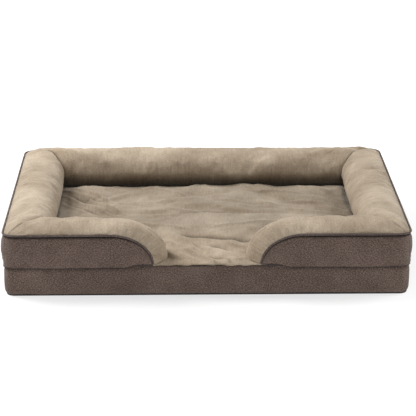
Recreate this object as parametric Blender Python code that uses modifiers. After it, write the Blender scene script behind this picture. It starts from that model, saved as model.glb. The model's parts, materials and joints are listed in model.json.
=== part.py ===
"""A rectangular pet cushion bed: an egg-crate foam base in a zipped cover, with a
bolster round the back, the sides and two front arms that leave an entrance between them.

Frame: metres, +Z up, +X to the right, front at -Y, origin at the centre of the underside.
"""

import math

import bmesh
import bpy
from mathutils import Vector

# Overall sizes
BASE_WIDTH = 0.914
BASE_DEPTH = 0.686
BASE_CORNER_R = 0.040
FOAM_HEIGHT = 0.0668
GUSSET_SEAM = 0.004

# Sewing clearance between neighbouring layers
GAP = 0.0003

# Fabric thicknesses
BOTTOM_T = 0.0015
GUSSET_T = 0.0012
LINER_T = 0.0008
TOP_PANEL_T = 0.0025
FLOOR_T = 0.0008
PLUSH_T = 0.0030
BAND_T = 0.0012

# Egg-crate top of the foam
CRATE_PITCH = 0.060
CRATE_DEPTH = 0.022

# Bolster section: depth inwards from its outermost point, heights above the ground
BULGE = 0.006
BOLSTER_WIDTH = 0.112
CROWN_INSET = 0.055
CROWN_RISE = 0.0927
PIPING_RISE = 0.0694
PIPING_INSET = 0.004
PIPING_R = 0.0024
BAND_LIP = 0.0080
LIP_INSET = 0.0030
SECTION_POWER = 2.6
FILL_EASE = 0.0005
INNER_CORNER_R = 0.003

# Front arms
ENTRANCE_HALF = 0.121
ARM_END_REACH = 0.098
PLUSH_WRAP = 1.5
HEEL_WRAP = 1.2
BAND_TIP_HEIGHT = 0.006

# Zip in the back gusset
ZIP_LENGTH = 0.800
ZIP_WINDOW = 0.014
ZIP_HEIGHT_SHARE = 0.5
TAPE_WIDTH = 0.012
TAPE_T = 0.0006
COIL_WIDTH = 0.0026
COIL_T = 0.0020
COIL_CHAMFER = 0.0006
WEB_T = 0.0005
ZIP_GAP = 0.0003
PLATE_BACK_T = 0.0009
PLATE_FRONT_T = 0.0012
LIP_T = 0.0008
SLIDER_LENGTH = 0.010
SLIDER_FROM_END = 0.012
STOP_LENGTH = 0.003
END_TAB_LENGTH = 0.024
BRIDGE_SPAN = 0.0060
BRIDGE_WIDTH = 0.0020
BRIDGE_T = 0.0009
HINGE_GAP = 0.0004
PULL_T = 0.0010
PULL_WIDTH = 0.0066
PULL_LENGTH = 0.024
PULL_WINDOW = 0.0045
PULL_WINDOW_WIDTH = 0.0036
PULL_CORNER_R = 0.0030

# Mouth of the waterproof liner, behind the zip
MOUTH_HEIGHT = 0.007

# Care label sewn into the back seam
LABEL_WIDTH = 0.030
LABEL_LENGTH = 0.022
LABEL_T = 0.0004
LABEL_X = -0.250

# Facets
ARC_STEPS = 3
ARM_STEPS = 8
SHOULDER_STEPS = 3
INNER_STEPS = 6
BAND_STEPS = 3
PULL_STEPS = 4

# Modelling: how far a cutter passes the piece that it cuts, and what welds
CUT_OVER = 0.010
WELD = 1e-6

# Levels, bottom to top
LINER_Z = BOTTOM_T + GAP
FOAM_Z = LINER_Z + LINER_T + GAP
FOAM_TOP = FOAM_Z + FOAM_HEIGHT
LINER_TOP = FOAM_TOP + GAP + LINER_T
PANEL_Z = LINER_TOP + GAP
FLOOR_Z = PANEL_Z + TOP_PANEL_T + GAP
BOLSTER_Z = FLOOR_Z + FLOOR_T + GAP
PIPING_Z = BOLSTER_Z + PIPING_RISE

# Half sizes of the base and of the bolster's outermost outline
HALF_X = BASE_WIDTH / 2
HALF_Y = BASE_DEPTH / 2
OUTER_X = HALF_X + BULGE
OUTER_Y = HALF_Y + BULGE
OUTER_R = BASE_CORNER_R + BULGE
ARM_END_X = ENTRANCE_HALF + ARM_END_REACH

# Depths through the back gusset, counted from its outer face towards the foam
TAPE_Y = HALF_Y - GUSSET_T - ZIP_GAP - TAPE_T / 2
COIL_Y = TAPE_Y + TAPE_T / 2 + ZIP_GAP + COIL_T / 2
PLATE_BACK_Y = TAPE_Y - TAPE_T / 2 - ZIP_GAP - PLATE_BACK_T / 2
PLATE_FRONT_Y = COIL_Y + COIL_T / 2 + ZIP_GAP + PLATE_FRONT_T / 2
HINGE_Y = PLATE_FRONT_Y + PLATE_FRONT_T / 2 + HINGE_GAP + PULL_T / 2
LINER_BACK_Y = PLATE_BACK_Y - PLATE_BACK_T / 2 - ZIP_GAP
ZIP_Z = BOTTOM_T + (PANEL_Z - BOTTOM_T) * ZIP_HEIGHT_SHARE
COIL_EDGE = WEB_T / 2 + ZIP_GAP


def clear_scene():
    for obj in list(bpy.data.objects):
        bpy.data.objects.remove(obj, do_unlink=True)


def make_collection(name):
    found = bpy.data.collections.new(name)
    bpy.context.scene.collection.children.link(found)
    return found


def make_material(name, colour, roughness, metallic=0.0):
    material = bpy.data.materials.new(name)
    material.use_nodes = True
    shader = material.node_tree.nodes["Principled BSDF"]
    shader.inputs["Base Color"].default_value = (*colour, 1.0)
    shader.inputs["Roughness"].default_value = roughness
    shader.inputs["Metallic"].default_value = metallic
    return material


def adopt(obj, name, collection, material=None, parent=None):
    """Name an object, move it to its collection, and give it its material and parent."""
    obj.name = name
    obj.data.name = name
    for old in list(obj.users_collection):
        old.objects.unlink(obj)
    collection.objects.link(obj)
    if material:
        obj.data.materials.clear()
        obj.data.materials.append(material)
    if parent:
        obj.parent = parent
    return obj


def object_from(bm, name, collection, material=None, parent=None):
    bmesh.ops.recalc_face_normals(bm, faces=bm.faces)
    mesh = bpy.data.meshes.new(name)
    bm.to_mesh(mesh)
    bm.free()
    return adopt(bpy.data.objects.new(name, mesh), name, collection, material, parent)


def box(name, size, centre, collection, material=None, parent=None):
    bpy.ops.mesh.primitive_cube_add(size=1.0, location=centre)
    obj = bpy.context.object
    obj.scale = size
    bpy.ops.object.transform_apply(location=False, rotation=False, scale=True)
    return adopt(obj, name, collection, material, parent)


def cut(obj, cutter, operation="DIFFERENCE", solver="EXACT"):
    modifier = obj.modifiers.new(cutter.name, "BOOLEAN")
    modifier.operation = operation
    modifier.solver = solver
    modifier.object = cutter


def hide_cutter(obj):
    obj.hide_render = True
    obj.display_type = "WIRE"
    return obj


# Outlines in plan


def corner_arc(sx, sy, half_x, half_y, radius, start, end, steps=ARC_STEPS * 2):
    """Points round one plan corner, with angles counted from the X axis towards Y."""
    points = []
    for step in range(steps + 1):
        angle = start + (end - start) * step / steps
        x = half_x - radius + radius * math.cos(angle)
        y = half_y - radius + radius * math.sin(angle)
        points.append((sx * x, sy * y))
    return points


def rounded_rectangle(half_x, half_y, radius, back_y=None):
    """A rounded rectangle, anticlockwise. back_y gives the back edge its own distance."""
    back = half_y if back_y is None else back_y
    quarter = math.pi / 2
    return (
        corner_arc(1, 1, half_x, back, radius, 0, quarter)
        + corner_arc(-1, 1, half_x, back, radius, quarter, 0)
        + corner_arc(-1, -1, half_x, half_y, radius, 0, quarter)
        + corner_arc(1, -1, half_x, half_y, radius, quarter, 0)
    )


def open_ring(outer_inset, inner_inset, gap_half):
    """A ring in plan, as wide as the bolster, that is open at the front entrance."""
    quarter = math.pi / 2
    points = []
    for inset, turn in ((outer_inset, 1), (inner_inset, -1)):
        radius = max(OUTER_R - inset, INNER_CORNER_R)
        half_x, half_y = OUTER_X - inset, OUTER_Y - inset
        loop = [(gap_half, -half_y)]
        loop += corner_arc(1, -1, half_x, half_y, radius, quarter, 0)
        loop += corner_arc(1, 1, half_x, half_y, radius, 0, quarter)
        loop += corner_arc(-1, 1, half_x, half_y, radius, quarter, 0)
        loop += corner_arc(-1, -1, half_x, half_y, radius, 0, quarter)
        loop += [(-gap_half, -half_y)]
        points += loop[::turn]
    return points


def plate(name, outline, z_low, z_high, collection, material=None, parent=None):
    """A flat outline with a thickness, made a mesh."""
    curve = bpy.data.curves.new(name, "CURVE")
    curve.dimensions = "2D"
    curve.fill_mode = "BOTH"
    curve.extrude = (z_high - z_low) / 2
    spline = curve.splines.new("POLY")
    spline.points.add(len(outline) - 1)
    for point, (x, y) in zip(spline.points, outline):
        point.co = (x, y, 0, 1)
    spline.use_cyclic_u = True
    guide = bpy.data.objects.new(name + "_outline", curve)
    guide.location.z = (z_low + z_high) / 2
    bpy.context.scene.collection.objects.link(guide)
    return curve_to_mesh(guide, name, collection, material, parent)


def curve_to_mesh(guide, name, collection, material=None, parent=None):
    bpy.context.view_layer.update()
    graph = bpy.context.evaluated_depsgraph_get()
    mesh = bpy.data.meshes.new_from_object(guide.evaluated_get(graph))
    bm = bmesh.new()
    bm.from_mesh(mesh)
    bmesh.ops.remove_doubles(bm, verts=bm.verts, dist=WELD)
    bmesh.ops.recalc_face_normals(bm, faces=bm.faces)
    bm.to_mesh(mesh)
    bm.free()
    obj = bpy.data.objects.new(name, mesh)
    obj.matrix_world = guide.matrix_world
    bpy.data.objects.remove(guide)
    return adopt(obj, name, collection, material, parent)


def wall(name, path, z_low, z_high, thickness, collection, material, parent):
    """An upright strip of fabric along a path, with its thickness on the inside."""
    bm = bmesh.new()
    low = [bm.verts.new((x, y, z_low)) for x, y in path]
    edges = [bm.edges.new(pair) for pair in zip(low, low[1:])]
    raised = bmesh.ops.extrude_edge_only(bm, edges=edges)["geom"]
    verts = [item for item in raised if isinstance(item, bmesh.types.BMVert)]
    bmesh.ops.translate(bm, verts=verts, vec=(0, 0, z_high - z_low))
    obj = object_from(bm, name, collection, material, parent)
    middle = obj.data.polygons[len(obj.data.polygons) // 2]
    if middle.normal.dot(Vector((middle.center.x, middle.center.y, 0))) < 0:
        obj.data.flip_normals()
    solidify = obj.modifiers.new("thickness", "SOLIDIFY")
    solidify.thickness = thickness
    solidify.offset = -1
    solidify.use_even_offset = True
    return obj


# Base


def base_cover(parts, cloth, parent):
    """The dark gusset round the base, the bottom and the plush and border on top."""
    outline = rounded_rectangle(HALF_X, HALF_Y, BASE_CORNER_R)
    plate("base_bottom_panel", outline, 0, BOTTOM_T, parts, cloth["grip"], parent)

    quarter = math.pi / 2
    low = BOTTOM_T + GAP
    high = PANEL_Z - GAP
    turn_end = HALF_Y - BASE_CORNER_R - GUSSET_SEAM
    split = turn_end - GAP
    front = [(-HALF_X, -turn_end)]
    front += corner_arc(-1, -1, HALF_X, HALF_Y, BASE_CORNER_R, 0, quarter)
    front += corner_arc(1, -1, HALF_X, HALF_Y, BASE_CORNER_R, quarter, 0)
    front += [(HALF_X, -turn_end)]
    wall("base_front_panel", front, low, high, GUSSET_T, parts, cloth["woven"], parent)
    for name, side in (("base_left_panel", -1), ("base_right_panel", 1)):
        path = [(side * HALF_X, -split), (side * HALF_X, split)]
        wall(name, path, low, high, GUSSET_T, parts, cloth["woven"], parent)
    back = [(HALF_X, turn_end)]
    back += corner_arc(1, 1, HALF_X, HALF_Y, BASE_CORNER_R, 0, quarter)
    back += corner_arc(-1, 1, HALF_X, HALF_Y, BASE_CORNER_R, quarter, 0)
    back += [(-HALF_X, turn_end)]
    strips = (
        ("base_back_panel_lower", low, ZIP_Z - ZIP_WINDOW / 2),
        ("base_back_panel_upper", ZIP_Z + ZIP_WINDOW / 2, high),
    )
    for name, z_low, z_high in strips:
        wall(name, back, z_low, z_high, GUSSET_T, parts, cloth["woven"], parent)

    inner = BOLSTER_WIDTH - BULGE
    tongue = ENTRANCE_HALF
    half_x, half_y = OUTER_X - inner, OUTER_Y - inner
    rug = corner_arc(1, 1, half_x, half_y, INNER_CORNER_R, 0, quarter)
    rug += corner_arc(-1, 1, half_x, half_y, INNER_CORNER_R, quarter, 0)
    rug += corner_arc(-1, -1, half_x, half_y, INNER_CORNER_R, 0, quarter)
    rug += [(-tongue, -half_y), (-tongue, -HALF_Y), (tongue, -HALF_Y), (tongue, -half_y)]
    rug += corner_arc(1, -1, half_x, half_y, INNER_CORNER_R, quarter, 0)
    top = PANEL_Z + TOP_PANEL_T
    plate("sleep_panel", rug, PANEL_Z, top, parts, cloth["plush"], parent)
    border = open_ring(BULGE, inner - GAP, tongue + GAP)
    plate("base_top_border", border, PANEL_Z, top, parts, cloth["woven"], parent)

    middle = (LABEL_X, HALF_Y + GAP + LABEL_T / 2, high - LABEL_LENGTH / 2)
    size = (LABEL_WIDTH, LABEL_T, LABEL_LENGTH)
    box("care_label", size, middle, parts, cloth["label"], parent)


def base_insert(parts, cutters, cloth, parent):
    """The egg-crate foam slab and the waterproof liner that holds it."""
    inset = GUSSET_T + GAP
    half_x, half_y, back = HALF_X - inset, HALF_Y - inset, LINER_BACK_Y
    radius = BASE_CORNER_R - inset
    outline = rounded_rectangle(half_x, half_y, radius, back)
    liner = plate("base_liner", outline, LINER_Z, LINER_TOP, parts, cloth["liner"], parent)
    hollow = rounded_rectangle(
        half_x - LINER_T, half_y - LINER_T, radius - LINER_T, back - LINER_T
    )
    room = plate(
        "liner_hollow", hollow, LINER_Z + LINER_T, LINER_TOP - LINER_T, cutters
    )
    cut(liner, hide_cutter(room))
    mouth = (ZIP_LENGTH, LINER_T + CUT_OVER / 4, MOUTH_HEIGHT)
    slit = box("liner_mouth", mouth, (0, back, ZIP_Z), cutters)
    cut(liner, hide_cutter(slit))

    skin = LINER_T + GAP
    foam_outline = rounded_rectangle(half_x - skin, half_y - skin, radius - skin, back - skin)
    count_x = 2 * round(BASE_WIDTH / CRATE_PITCH)
    count_y = 2 * round(BASE_DEPTH / CRATE_PITCH)
    bpy.ops.mesh.primitive_grid_add(x_subdivisions=count_x, y_subdivisions=count_y, size=1)
    foam = adopt(bpy.context.object, "base_foam", parts, cloth["foam"], parent)
    for vert in foam.data.vertices:
        column = round((vert.co.x + 0.5) * count_x)
        row = round((vert.co.y + 0.5) * count_y)
        wave = (math.cos(math.pi * column) + math.cos(math.pi * row)) / 2
        vert.co.x *= BASE_WIDTH
        vert.co.y *= BASE_DEPTH
        vert.co.z = FOAM_TOP - CRATE_DEPTH * (1 - wave) / 2
    bm = bmesh.new()
    bm.from_mesh(foam.data)
    raised = bmesh.ops.extrude_face_region(bm, geom=list(bm.faces))["geom"]
    for item in raised:
        if isinstance(item, bmesh.types.BMVert):
            item.co.z = FOAM_Z
    bmesh.ops.recalc_face_normals(bm, faces=bm.faces)
    bm.to_mesh(foam.data)
    bm.free()
    trim = plate("foam_outline", foam_outline, FOAM_Z - CUT_OVER, FOAM_TOP + CUT_OVER, cutters)
    cut(foam, hide_cutter(trim), "INTERSECT")


# Bolsters


def bolster_section(ease):
    """The plush side of the section from the piping over the crown to the foot, eased
    inwards by a thickness, as (inset, rise above the bolster's floor)."""
    shoulder_rise = CROWN_RISE - PIPING_RISE + PIPING_R
    centre = CROWN_RISE - shoulder_rise
    first = math.asin(min(1.0, (2 * PIPING_R + 2 * GAP) / shoulder_rise))
    points = []
    for step in range(SHOULDER_STEPS):
        angle = first + (math.pi / 2 - first) * step / SHOULDER_STEPS
        across = (CROWN_INSET - PIPING_INSET - ease) * math.cos(angle)
        points.append((CROWN_INSET - across, centre + (shoulder_rise - ease) * math.sin(angle)))
    half = BOLSTER_WIDTH - CROWN_INSET - ease
    for step in range(INNER_STEPS + 1):
        angle = math.pi / 2 * (1 - step / INNER_STEPS)
        across = half * max(0.0, math.cos(angle)) ** (2 / SECTION_POWER)
        rise = (CROWN_RISE - ease) * max(0.0, math.sin(angle)) ** (2 / SECTION_POWER)
        points.append((CROWN_INSET + across, rise))
    return points


def band_inset(rise, ease):
    """How far the outer face lies inside the outermost outline at a height."""
    low, high = -BAND_LIP, PIPING_RISE
    share = (rise - low) / (high - low)
    ends = LIP_INSET + (PIPING_INSET - LIP_INSET) * share
    return ends * (1 - math.sin(math.pi * min(1.0, max(0.0, share)))) + ease


def ring_point(sx, sy, angle, inset, rise):
    """A point on the outline round the bed, this far inside the outermost one."""
    radius = max(OUTER_R - inset, INNER_CORNER_R)
    x = OUTER_X - inset - radius + radius * math.cos(angle)
    y = OUTER_Y - inset - radius + radius * math.sin(angle)
    return Vector((sx * x, sy * y, BOLSTER_Z + rise))


def side_stations(sx):
    """Stations along a side bolster, from the front mitre to the back one."""
    turns = [math.pi / 4 * step / ARC_STEPS for step in range(ARC_STEPS, -1, -1)]
    return [(sx, -1, angle) for angle in turns] + [(sx, 1, angle) for angle in turns[::-1]]


def back_stations():
    """Stations along the back bolster, from the left mitre to the right one."""
    turns = [math.pi / 4 * (1 + step / ARC_STEPS) for step in range(ARC_STEPS + 1)]
    return [(-1, 1, angle) for angle in turns] + [(1, 1, angle) for angle in turns[::-1]]


def arm_stations(sx):
    """Stations along a front arm, from its mitre to the start of its rounded end."""
    turns = [math.pi / 4 * (1 + step / ARC_STEPS) for step in range(ARC_STEPS + 1)]
    return [(sx, -1, angle) for angle in turns]


def straight_grid(stations, section, along):
    """Section points at every station. along is the axis in which the mitred ends keep
    their gap to the neighbouring bolster."""
    grid = [[ring_point(*station, *point) for point in section] for station in stations]
    for column, other in ((grid[0], grid[-1]), (grid[-1], grid[0])):
        step = GAP if other[0][along] > column[0][along] else -GAP
        for point in column:
            point[along] += step
    return grid


def end_reach(rise, ease):
    """Half length of a rounded arm end, for a section point at this rise."""
    above = rise + ease - PIPING_RISE
    wrap = PLUSH_WRAP if above > 0 else HEEL_WRAP
    return ARM_END_REACH + wrap * above - ease


def arm_grid(sx, section, ease, face_points=0):
    """An arm's section points at its mitre, along it and round its end. The first
    face_points of the section lie on the flat outer face and shrink with it."""
    grid = [[ring_point(*station, *point) for point in section] for station in arm_stations(sx)]
    for point in grid[0]:
        point.x -= sx * GAP
    for step in range(ARM_STEPS + 1):
        angle = math.pi / 2 * step / ARM_STEPS
        column = []
        for index, (inset, rise) in enumerate(section):
            if index < face_points:
                reach = (ARM_END_REACH - ease) * rise / PIPING_RISE
            else:
                reach = end_reach(rise, ease)
            x = ARM_END_X - reach * math.sin(angle)
            z = BOLSTER_Z + rise * math.cos(angle)
            column.append(Vector((sx * x, inset - OUTER_Y, z)))
        grid.append(column)
    return grid


def band_grid(stations, ease, along):
    """The outer face at every station, from its lower lip up to the piping."""
    top = PIPING_RISE - PIPING_R - GAP
    rises = [-BAND_LIP + (top + BAND_LIP) * step / BAND_STEPS for step in range(BAND_STEPS + 1)]
    section = [(band_inset(rise, ease), rise) for rise in rises]
    return straight_grid(stations, section, along)


def arm_band_grid(sx, ease):
    """The outer face of an arm: its lip fades out and its top follows the round end."""
    top = PIPING_RISE - PIPING_R - GAP
    grid = []
    rises = [-BAND_LIP + (top + BAND_LIP) * step / BAND_STEPS for step in range(BAND_STEPS + 1)]
    for station in arm_stations(sx):
        grid.append([ring_point(*station, band_inset(rise, ease), rise) for rise in rises])
    for point in grid[0]:
        point.x -= sx * GAP
    last = math.acos(BAND_TIP_HEIGHT / top)
    for step in range(ARM_STEPS + 1):
        angle = last * step / ARM_STEPS
        x = ARM_END_X - (ARM_END_REACH - PIPING_R - GAP) * math.sin(angle)
        high = top * math.cos(angle)
        low = -BAND_LIP * (1 - step / ARM_STEPS)
        column = []
        for row in range(BAND_STEPS + 1):
            rise = low + (high - low) * row / BAND_STEPS
            column.append(Vector((sx * x, band_inset(rise, ease) - OUTER_Y, BOLSTER_Z + rise)))
        grid.append(column)
    return grid


def add_grid(bm, grid, closed=False):
    """Faces between neighbouring columns of points; returns the vertices."""
    verts = [[bm.verts.new(point) for point in column] for column in grid]
    rows = len(grid[0])
    for left, right in zip(verts, verts[1:]):
        for row in range(rows if closed else rows - 1):
            above = (row + 1) % rows
            bm.faces.new((left[row], right[row], right[above], left[above]))
    return verts


def sewn_shell(name, outer, inner, collection, material, parent):
    """A sheet of fabric between two grids of points, closed along its four rims."""
    bm = bmesh.new()
    faces = add_grid(bm, outer)
    backs = add_grid(bm, inner)
    rims = (
        ([column[0] for column in faces], [column[0] for column in backs]),
        ([column[-1] for column in faces], [column[-1] for column in backs]),
        (faces[0], backs[0]),
        (faces[-1], backs[-1]),
    )
    for near, far in rims:
        for index in range(len(near) - 1):
            bm.faces.new((near[index], near[index + 1], far[index + 1], far[index]))
    return object_from(bm, name, collection, material, parent)


def stuffed(name, grid, collection, material, parent):
    """A filling: the section closed across its floor, with both ends capped."""
    bm = bmesh.new()
    add_grid(bm, grid, closed=True)
    bmesh.ops.remove_doubles(bm, verts=bm.verts, dist=WELD)
    rims = [edge for edge in bm.edges if edge.is_boundary]
    bmesh.ops.holes_fill(bm, edges=rims, sides=0)
    return object_from(bm, name, collection, material, parent)


def fill_section(ease):
    """The whole section of a filling, from the foot of its outer face round to its heel."""
    top = PIPING_RISE - PIPING_R - GAP - ease
    rises = [top * step / BAND_STEPS for step in range(BAND_STEPS + 1)]
    return [(band_inset(rise, ease), rise) for rise in rises] + bolster_section(ease)


def bolsters(parts, cloth, parent):
    floor = open_ring(BULGE + BAND_T, BOLSTER_WIDTH - PLUSH_T, ARM_END_X)
    plate("bolster_floor", floor, FLOOR_Z, FLOOR_Z + FLOOR_T, parts, cloth["lining"], parent)

    plush, lining = bolster_section(0), bolster_section(PLUSH_T)
    ease = PLUSH_T + FILL_EASE
    filling = fill_section(ease)
    runs = (
        ("left", side_stations(-1), 1),
        ("right", side_stations(1), 1),
        ("back", back_stations(), 0),
    )
    for side, stations, along in runs:
        outer = straight_grid(stations, plush, along)
        inner = straight_grid(stations, lining, along)
        sewn_shell(f"plush_{side}", outer, inner, parts, cloth["plush"], parent)
        outer = band_grid(stations, 0, along)
        inner = band_grid(stations, BAND_T, along)
        sewn_shell(f"band_{side}", outer, inner, parts, cloth["woven"], parent)
        core = straight_grid(stations, filling, along)
        stuffed(f"fill_{side}", core, parts, cloth["fibre"], parent)
    for side, sx in (("front_left", -1), ("front_right", 1)):
        outer = arm_grid(sx, plush, 0)
        inner = arm_grid(sx, lining, PLUSH_T)
        sewn_shell(f"plush_{side}", outer, inner, parts, cloth["plush"], parent)
        outer, inner = arm_band_grid(sx, 0), arm_band_grid(sx, BAND_T)
        sewn_shell(f"band_{side}", outer, inner, parts, cloth["woven"], parent)
        core = arm_grid(sx, filling, ease, face_points=BAND_STEPS + 1)
        stuffed(f"fill_{side}", core, parts, cloth["fibre"], parent)


def piping(parts, cloth, parent):
    """The corded edge, from one arm's end round the back to the other's."""
    arm = []
    last = math.acos(BAND_TIP_HEIGHT / PIPING_RISE)
    for step in range(ARM_STEPS, -1, -1):
        angle = last * step / ARM_STEPS
        x = ARM_END_X - ARM_END_REACH * math.sin(angle)
        z = BOLSTER_Z + PIPING_RISE * math.cos(angle)
        arm.append(Vector((x, PIPING_INSET - OUTER_Y, z)))
    turns = [math.pi / 2 * step / (2 * ARC_STEPS) for step in range(2 * ARC_STEPS, -1, -1)]
    front = [ring_point(1, -1, angle, PIPING_INSET, PIPING_RISE) for angle in turns]
    back = [ring_point(1, 1, angle, PIPING_INSET, PIPING_RISE) for angle in turns[::-1]]
    right = arm + front + back
    left = [Vector((-point.x, point.y, point.z)) for point in reversed(right)]
    curve = bpy.data.curves.new("piping", "CURVE")
    curve.dimensions = "3D"
    curve.bevel_depth = PIPING_R
    curve.bevel_resolution = 2
    curve.use_fill_caps = True
    spline = curve.splines.new("POLY")
    spline.points.add(len(right + left) - 1)
    for point, place in zip(spline.points, right + left):
        point.co = (*place, 1)
    adopt(bpy.data.objects.new("piping", curve), "piping", parts, cloth["cord"], parent)


# Zip


def zip_strips(parts, cloth, parent):
    """Tapes, coils, stops and the fabric tabs past the zip's ends."""
    tape_middle = COIL_EDGE + TAPE_WIDTH / 2
    coil_middle = COIL_EDGE + COIL_WIDTH / 2
    for level, sign in (("lower", -1), ("upper", 1)):
        size = (ZIP_LENGTH + END_TAB_LENGTH, TAPE_T, TAPE_WIDTH)
        place = (0, TAPE_Y, ZIP_Z + sign * tape_middle)
        box(f"zip_tape_{level}", size, place, parts, cloth["tape"], parent)
        size = (ZIP_LENGTH, COIL_T, COIL_WIDTH)
        place = (0, COIL_Y, ZIP_Z + sign * coil_middle)
        coil = box(f"zip_coil_{level}", size, place, parts, cloth["nylon"], parent)
        chamfer = coil.modifiers.new("rounding", "BEVEL")
        chamfer.width = COIL_CHAMFER
        chamfer.segments = 2
    stop_x = ZIP_LENGTH / 2 + GAP + STOP_LENGTH / 2
    tab_x = stop_x + STOP_LENGTH / 2 + GAP + END_TAB_LENGTH / 2
    stop_size = (STOP_LENGTH, COIL_T, 2 * (COIL_EDGE + COIL_WIDTH))
    tab_size = (END_TAB_LENGTH, GUSSET_T, ZIP_WINDOW - 2 * GAP)
    for side, sx in (("left", -1), ("right", 1)):
        place = (sx * stop_x, COIL_Y, ZIP_Z)
        box(f"zip_stop_{side}", stop_size, place, parts, cloth["zinc"], parent)
        place = (sx * tab_x, HALF_Y - GUSSET_T / 2, ZIP_Z)
        box(f"zip_end_tab_{side}", tab_size, place, parts, cloth["woven"], parent)


def zip_slider(parts, cutters, cloth, parent):
    """Two plates on a web between the coils, lips round them and a bridge for the pull."""
    edge = COIL_EDGE + COIL_WIDTH + ZIP_GAP + LIP_T
    lip_edge = edge - LIP_T
    back_low = PLATE_BACK_Y - PLATE_BACK_T / 2 - COIL_Y
    back_high = PLATE_BACK_Y + PLATE_BACK_T / 2 - COIL_Y
    front_low = PLATE_FRONT_Y - PLATE_FRONT_T / 2 - COIL_Y
    front_high = PLATE_FRONT_Y + PLATE_FRONT_T / 2 - COIL_Y
    lip_low = TAPE_Y + TAPE_T / 2 + 2 * ZIP_GAP - COIL_Y
    web = WEB_T / 2
    half = [
        (edge, front_high),
        (edge, lip_low),
        (lip_edge, lip_low),
        (lip_edge, front_low),
        (web, front_low),
        (web, back_high),
        (edge, back_high),
        (edge, back_low),
    ]
    outline = half + [(-z, y) for z, y in reversed(half)]
    name = "zip_slider"
    slider = plate(name, outline, 0, SLIDER_LENGTH, parts, cloth["zinc"], parent)
    for vert in slider.data.vertices:
        z, y, x = vert.co
        vert.co = (x, y, z)
    slider.data.flip_normals()
    slider.location = (ZIP_LENGTH / 2 - SLIDER_FROM_END, COIL_Y, ZIP_Z)

    foot = front_high - PLATE_FRONT_T / 2
    inner_high = front_high + 2 * HINGE_GAP + PULL_T
    outer = BRIDGE_SPAN / 2
    inner = outer - BRIDGE_T
    leg = [
        (-inner, inner_high),
        (-inner, foot),
        (-outer, foot),
        (-outer, inner_high),
        (-inner, inner_high + BRIDGE_T),
    ]
    arch = leg + [(-x, y) for x, y in reversed(leg)]
    bridge = plate("slider_bridge", arch, -BRIDGE_WIDTH / 2, BRIDGE_WIDTH / 2, cutters)
    bridge.location = slider.location
    cut(slider, hide_cutter(bridge), "UNION", solver="MANIFOLD")
    return slider


def zip_pull(parts, cutters, cloth, slider):
    """A flat tab whose crossbar lies under the slider's bridge, on the hinge axis."""
    half = PULL_WIDTH / 2
    far = PULL_T / 2 - PULL_LENGTH
    near = PULL_T / 2
    outline = [(near, -half), (near, half)]
    for step in range(PULL_STEPS + 1):
        angle = math.pi / 2 * step / PULL_STEPS
        x = far + PULL_CORNER_R * (1 - math.sin(angle))
        outline.append((x, half - PULL_CORNER_R * (1 - math.cos(angle))))
    outline += [(x, -z) for x, z in reversed(outline[2:])]
    pull = plate("zip_pull", outline, -PULL_T / 2, PULL_T / 2, parts, cloth["zinc"], slider)
    for vert in pull.data.vertices:
        x, z, y = vert.co
        vert.co = (x, y, z)
    pull.data.flip_normals()
    pull.location = (0, HINGE_Y - COIL_Y, 0)
    middle_x = slider.location.x - PULL_T / 2 - PULL_WINDOW / 2
    room = (PULL_WINDOW, PULL_T * 3, PULL_WINDOW_WIDTH)
    window = box("pull_window", room, (middle_x, HINGE_Y, ZIP_Z), cutters)
    cut(pull, hide_cutter(window))


def main():
    clear_scene()
    parts = make_collection("pet_cushion_bed")
    cutters = make_collection("cutters")
    cloth = {
        "woven": make_material("woven_polyester", (0.098, 0.067, 0.054), 0.9),
        "plush": make_material("short_plush", (0.38, 0.29, 0.20), 0.95),
        "cord": make_material("piping_fabric", (0.178, 0.130, 0.112), 0.9),
        "grip": make_material("grip_fabric", (0.022, 0.018, 0.017), 0.8),
        "lining": make_material("lining_fabric", (0.060, 0.048, 0.042), 0.85),
        "liner": make_material("liner_film", (0.62, 0.62, 0.60), 0.45),
        "foam": make_material("egg_crate_foam", (0.80, 0.72, 0.50), 0.95),
        "fibre": make_material("fibre_filling", (0.85, 0.85, 0.83), 0.98),
        "tape": make_material("zip_tape", (0.070, 0.052, 0.044), 0.85),
        "nylon": make_material("zip_coil_nylon", (0.060, 0.045, 0.038), 0.5),
        "zinc": make_material("zip_zinc", (0.20, 0.18, 0.17), 0.35, 1.0),
        "label": make_material("label_satin", (0.80, 0.79, 0.76), 0.5),
    }
    bed = bpy.data.objects.new("bed_origin", None)
    parts.objects.link(bed)
    base_cover(parts, cloth, bed)
    base_insert(parts, cutters, cloth, bed)
    bolsters(parts, cloth, bed)
    piping(parts, cloth, bed)
    zip_strips(parts, cloth, bed)
    slider = zip_slider(parts, cutters, cloth, bed)
    zip_pull(parts, cutters, cloth, slider)


main()
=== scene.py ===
import contextlib
import json
from math import acos, atan2, copysign, cos, exp, floor, hypot, pi, radians, sin, sqrt

import bmesh
import bpy
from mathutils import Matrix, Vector, noise


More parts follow.
